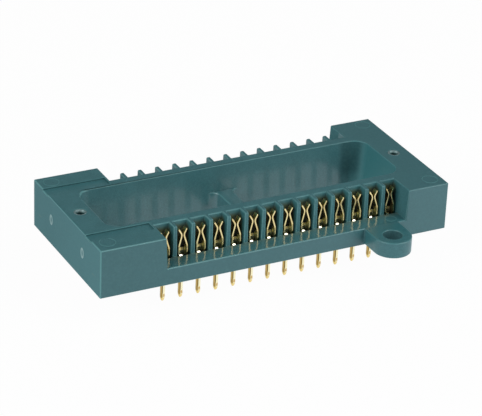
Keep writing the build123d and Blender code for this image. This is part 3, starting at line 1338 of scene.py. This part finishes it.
@dataclass
class Housing:
    """The moulded housing, from the CAD solid with its edges eased and the mould's marks cut in.

    Radii and places are in millimetres. Edges are told apart by where they lie.
    """

    finish: MouldedPlastic
    marks: tuple[MouldMarks, ...] = (
        # Each mark's lightness: a pin's ring takes a painted highlight, a gate takes its pale scar colour
        MouldMarks(PINS, 0.11 * MM, 1.7),
        MouldMarks(GATES, 0.4 * MM, 2.4),
    )
    rib_radius: float = 0.13
    outer_radius: float = 0.14
    small_radius: float = 0.08
    inner_radius: float = 0.06
    hole_radius: float = 0.04
    rim_radius: float = 0.12
    end_rim_radius: float = 0.2
    label_radius: float = 0.03
    insert_x: Rise = (21.9, 25.0)
    insert_reach: float = 1.0
    insert_top_z: float = 10.7
    floor_z: float = 6.0
    slot_reach: float = 0.35
    foot_z: float = 4.45
    label_x: Rise = (-25.1, -16.0)
    label_y: Rise = (5.9, 8.1)
    label_z: float = 10.5
    rim_x: float = 22.0
    rim_y: float = 5.6
    rim_z: float = 10.8
    end_rim_x: float = -19.0
    pocket_back_y: float = 6.89
    rib_back_y: float = 7.0
    rib_front_y: float = 8.41
    weld: float = 0.002 * MM
    flat: float = math.radians(0.6)
    edge_angle: float = math.radians(32)
    segments: int = 3

    def merged(self) -> bmesh.types.BMesh:
        """Copies the CAD mesh and joins its loose triangles into flat faces.

        Returns:
            The copy.
        """
        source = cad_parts["housing"].data
        form = bmesh.new()
        corners = [form.verts.new(v.co) for v in source.vertices]
        for face in source.polygons:
            form.faces.new([corners[i] for i in face.vertices])
        bmesh.ops.remove_doubles(form, verts=form.verts, dist=self.weld)
        bmesh.ops.dissolve_limit(form, angle_limit=self.flat, verts=form.verts, edges=form.edges)
        bmesh.ops.recalc_face_normals(form, faces=form.faces)
        return form

    def easing(self, edge: bmesh.types.BMEdge) -> float:
        """How round one edge is, in millimetres.

        Args:
            edge: An edge of the merged housing.

        Returns:
            The width of its rounding, or 0 for none.
        """
        if len(edge.link_faces) != 2 or edge.calc_face_angle(0.0) < self.edge_angle:
            return 0.0
        a, b = (corner.co / MM for corner in edge.verts)
        near_x, far_x = sorted((abs(a.x), abs(b.x)))
        near_y, far_y = sorted((abs(a.y), abs(b.y)))
        low_z, high_z = sorted((a.z, b.z))
        right_x = max(a.x, b.x)
        if far_y < self.insert_reach and self.insert_x[0] < near_x and far_x < self.insert_x[1]:
            return self.hole_radius if low_z > self.insert_top_z else 0.0
        if high_z < self.floor_z and max(abs(near_y - ROW_Y), abs(far_y - ROW_Y)) < self.slot_reach:
            return 0.0
        if high_z < self.foot_z:
            return self.small_radius
        if not edge.is_convex:
            return self.inner_radius
        in_label = self.label_y[0] < near_y and far_y < self.label_y[1] and low_z > self.label_z
        if in_label and self.label_x[0] < right_x < self.label_x[1]:
            return self.label_radius
        if low_z > self.rim_z and far_y < self.rim_y and far_x < self.rim_x:
            return self.end_rim_radius if right_x < self.end_rim_x else self.rim_radius
        in_row = near_y > self.pocket_back_y and self.rib_back_y < far_y < self.rib_front_y
        return self.rib_radius if in_row and high_z > self.floor_z else self.outer_radius

    def bulges(self, face: bmesh.types.BMFace) -> bool:
        """Tells a rounded outer edge from a rounded inner one.

        Args:
            face: A face of the eased housing.

        Returns:
            Whether the faces round it fall away from it.
        """
        middle = face.calc_center_median()
        rise = 0.0
        for edge in face.edges:
            for other in edge.link_faces:
                if other is not face:
                    step = other.calc_center_median() - middle
                    rise += step.normalized().dot(face.normal) * edge.calc_length()
        return rise < 0

    def mark_eased(self, mesh: bpy.types.Mesh) -> None:
        """Keeps which faces are rounded outer edges, as a value that the finish reads.

        Args:
            mesh: The moulding, whose rounded faces have material number 1.
        """
        form = bmesh.new()
        form.from_mesh(mesh)
        form.normal_update()
        for corner in form.verts:
            corner.co.x = min(max(corner.co.x, cad_box[0].x), cad_box[1].x)
        layer = form.faces.layers.float.new(EASED)
        for face in form.faces:
            face[layer] = float(face.material_index == 1 and self.bulges(face))
            face.material_index = 0
        form.to_mesh(mesh)
        form.free()
        mesh.materials.pop()

    def moulding(self) -> bpy.types.Object:
        """Eases the edges of the CAD solid.

        Returns:
            The moulding without its marks.
        """
        form = self.merged()
        weights = form.edges.layers.float.new("bevel_weight_edge")
        for edge in form.edges:
            edge[weights] = self.easing(edge) / self.outer_radius
        piece = link("moulding", finished(form, "moulding"))
        for _ in range(2):
            piece.data.materials.append(self.finish.material())
        edges = piece.modifiers.new("eased_edges", "BEVEL")
        edges.width = self.outer_radius * MM
        edges.segments = self.segments
        edges.limit_method = "WEIGHT"
        edges.use_clamp_overlap = False
        edges.material = 1
        baked(piece)
        self.mark_eased(piece.data)
        return piece

    def build(self) -> None:
        """Makes the piece that stands for the housing."""
        piece = self.moulding()
        cutters = [marks.cutter() for marks in self.marks]
        for cutter in cutters:
            cut = piece.modifiers.new("marks", "BOOLEAN")
            cut.object = cutter
            cut.solver = "EXACT"
            cut.operation = "DIFFERENCE"
        piece.modifiers.new("even_light", "WEIGHTED_NORMAL")
        piece.data.shade_smooth()
        baked(piece)
        for cutter in cutters:
            bpy.data.objects.remove(cutter)
        declare(piece, ["housing"])


@dataclass
class Insert:
    """A threaded metal insert, turned, with its thread as a ridge in the bore."""

    finish: TurnedMetal
    radius: float = 0.85 * MM
    crest: float = 0.52 * MM
    root: float = 0.58 * MM
    mouth: float = 0.66 * MM
    mouth_depth: float = 0.2 * MM
    rim_bevel: float = 0.04 * MM
    thread_pitch: float = 0.25 * MM
    steps: int = 48
    thread_steps: int = 24
    ridge_sides: int = 4
    sharp_angle: float = math.radians(35)

    def ring(self, low: Vector, high: Vector) -> bpy.types.Mesh:
        """Turns the insert's body without its thread.

        Args:
            low: Lowest corner of its CAD node.
            high: Highest corner of its CAD node.

        Returns:
            A mesh in its place.
        """
        middle = (low + high) / 2
        bevel = self.rim_bevel
        outline = [
            (self.root, low.z), (self.radius - bevel, low.z), (self.radius, low.z + bevel),
            (self.radius, high.z - bevel), (self.radius - bevel, high.z), (self.mouth + bevel, high.z),
            (self.mouth, high.z - bevel / 2), (self.root, high.z - self.mouth_depth)]
        form = bmesh.new()
        rings = []
        for step in range(self.steps):
            angle = 2 * math.pi * step / self.steps
            across = Vector((math.cos(angle), math.sin(angle), 0))
            rings.append([form.verts.new(Vector((middle.x, middle.y, z)) + across * r) for r, z in outline])
        join_rings(form, rings + rings[:1])
        bmesh.ops.recalc_face_normals(form, faces=form.faces)
        return finished(form, "insert")

    def tree(self) -> GeometryTree:
        """Makes the tree that winds a thread ridge round the bore and joins it to the ring.

        Returns:
            The tree.
        """
        made = GeometryTree("thread", {
            "Turns": "Float", "Height": "Float", "Wall Radius": "Float", "Ridge": "Float", "Start": "Vector"})
        maker = made.maker
        spiral = maker.node("GeometryNodeCurveSpiral", inputs={
            "Resolution": self.thread_steps, "Rotations": made.value("Turns"),
            "Start Radius": made.value("Wall Radius"), "End Radius": made.value("Wall Radius"),
            "Height": made.value("Height")})
        profile = maker.node("GeometryNodeCurvePrimitiveCircle", inputs={
            "Resolution": self.ridge_sides, "Radius": made.value("Ridge")})
        ridge = maker.node("GeometryNodeCurveToMesh", inputs={0: spiral, 1: profile, "Fill Caps": True})
        moved = maker.node("GeometryNodeTransform", inputs={
            "Geometry": ridge, "Translation": made.value("Start")})
        both = maker.node("GeometryNodeJoinGeometry", inputs={0: made.value("Geometry")})
        maker.tree.links.new(moved.outputs[0], both.inputs[0])
        made.finish(both, self.finish)
        return made

    def build(self) -> None:
        """Makes both inserts and says what they stand for."""
        tree = self.tree()
        for node in sorted(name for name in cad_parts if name.startswith("insert_")):
            low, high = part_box(node)
            middle = (low + high) / 2
            piece = link("threaded_" + node, self.ring(low, high))
            height = high.z - low.z - 2 * self.thread_pitch
            tree.put_on(piece, {
                "Turns": height / self.thread_pitch,
                "Height": height,
                "Wall Radius": self.root,
                "Ridge": self.root - self.crest,
                "Start": (middle.x, middle.y, low.z + self.thread_pitch),
            })
            piece.data.shade_smooth()
            piece.data.set_sharp_from_angle(angle=self.sharp_angle)
            declare(piece, [node])


def direction(azimuth: float, elevation: float) -> Vector:
    """The way out from the part towards a light or the camera, from two angles in degrees."""
    turn, lift = math.radians(azimuth), math.radians(elevation)
    return Vector((math.sin(turn) * math.cos(lift), -math.cos(turn) * math.cos(lift), math.sin(lift)))


@dataclass
class Softbox:
    """A square studio light that points at the part."""

    name: str
    azimuth: float
    elevation: float
    distance: float
    size: float
    radiance: float

    def build(self, target: Vector) -> None:
        """Hangs the light and turns it to the target.

        Args:
            target: What it points at.
        """
        lamp = bpy.data.lights.new(self.name, "AREA")
        lamp.shape = "SQUARE"
        lamp.size = self.size
        lamp.energy = self.radiance * math.pi * self.size ** 2
        made = link(self.name, lamp)
        back = direction(self.azimuth, self.elevation)
        made.location = target + back * self.distance
        made.rotation_mode = "QUATERNION"
        made.rotation_quaternion = back.to_track_quat("Z", "Y")


BOXES = (
    Softbox("left_box", -82.0, 32.0, 0.9, 0.6, 3.8),
    Softbox("front_box", 40.0, 25.0, 0.36, 0.25, 2.9),
    Softbox("right_box", 42.0, 52.0, 0.9, 0.25, 4.5),
)


@dataclass
class Studio:
    """The white sheet, the light and the camera."""

    boxes: tuple[Softbox, ...] = BOXES
    floor_outline: tuple[Point2, ...] = ((0.1, 0.0), (1.6, 0.0), (1.76, 0.075), (1.84, 0.3))
    floor_steps: int = 96
    world: Colour = (0.24, 0.25, 0.26)
    camera_azimuth: float = -27.726
    camera_elevation: float = 26.993
    camera_roll: float = 2.41
    camera_eye: Point3 = (-132.85, -252.68, 152.27)
    camera_clip: Point2 = (0.01, 20.0)
    focal_pixels: float = 2411.7
    sensor: float = 36.0

    def floor(self) -> None:
        """Lays the sheet, whose rim far away turns up a little."""
        form = bmesh.new()
        rings = []
        for radius, z in self.floor_outline:
            ring = []
            for step in range(self.floor_steps):
                angle = 2 * math.pi * step / self.floor_steps
                ring.append(form.verts.new((radius * math.cos(angle), radius * math.sin(angle), z)))
            rings.append(ring)
        form.faces.new(rings[0])
        join_rings(form, rings)
        mesh = finished(form, "sheet")
        mesh.materials.append(Paper().material())
        mesh.shade_smooth()
        link("sheet", mesh)

    def sky(self) -> None:
        """Lights the room evenly and dimly."""
        world = bpy.data.worlds.new("room")
        bpy.context.scene.world = world
        world.use_nodes = True
        maker = NodeMaker(world.node_tree)
        glow = maker.node("ShaderNodeBackground", inputs={0: (*self.world, 1.0), 1: 1.0})
        maker.node("ShaderNodeOutputWorld", inputs={0: glow})

    def camera(self) -> None:
        """Sets the camera where the photograph was taken from."""
        data = bpy.data.cameras.new("camera")
        data.sensor_width = self.sensor
        data.lens = self.focal_pixels * self.sensor / IMAGE_WIDTH
        data.clip_start, data.clip_end = self.camera_clip
        made = link("camera", data)
        back = direction(self.camera_azimuth, self.camera_elevation)
        roll = Matrix.Rotation(math.radians(self.camera_roll), 4, "Z")
        made.matrix_world = (Matrix.Translation(Vector(self.camera_eye) * MM)
                             @ back.to_track_quat("Z", "Y").to_matrix().to_4x4() @ roll)
        bpy.context.scene.camera = made

    def build(self, target: Vector) -> None:
        """Sets up the whole studio.

        Args:
            target: What the lights point at.
        """
        self.floor()
        self.sky()
        for box in self.boxes:
            box.build(target)
        self.camera()


def main() -> None:
    """Builds and dresses every piece, then the studio."""
    logging.basicConfig(level=logging.INFO, format="%(name)s %(message)s")
    bpy.context.scene.view_settings.view_transform = "Standard"
    Housing(MouldedPlastic()).build()
    ContactRows(Contact(), GoldPlate()).build()
    Insert(TurnedMetal()).build()
    Studio().build((cad_box[0] + cad_box[1]) / 2)


if __name__ == "__main__":
    main()
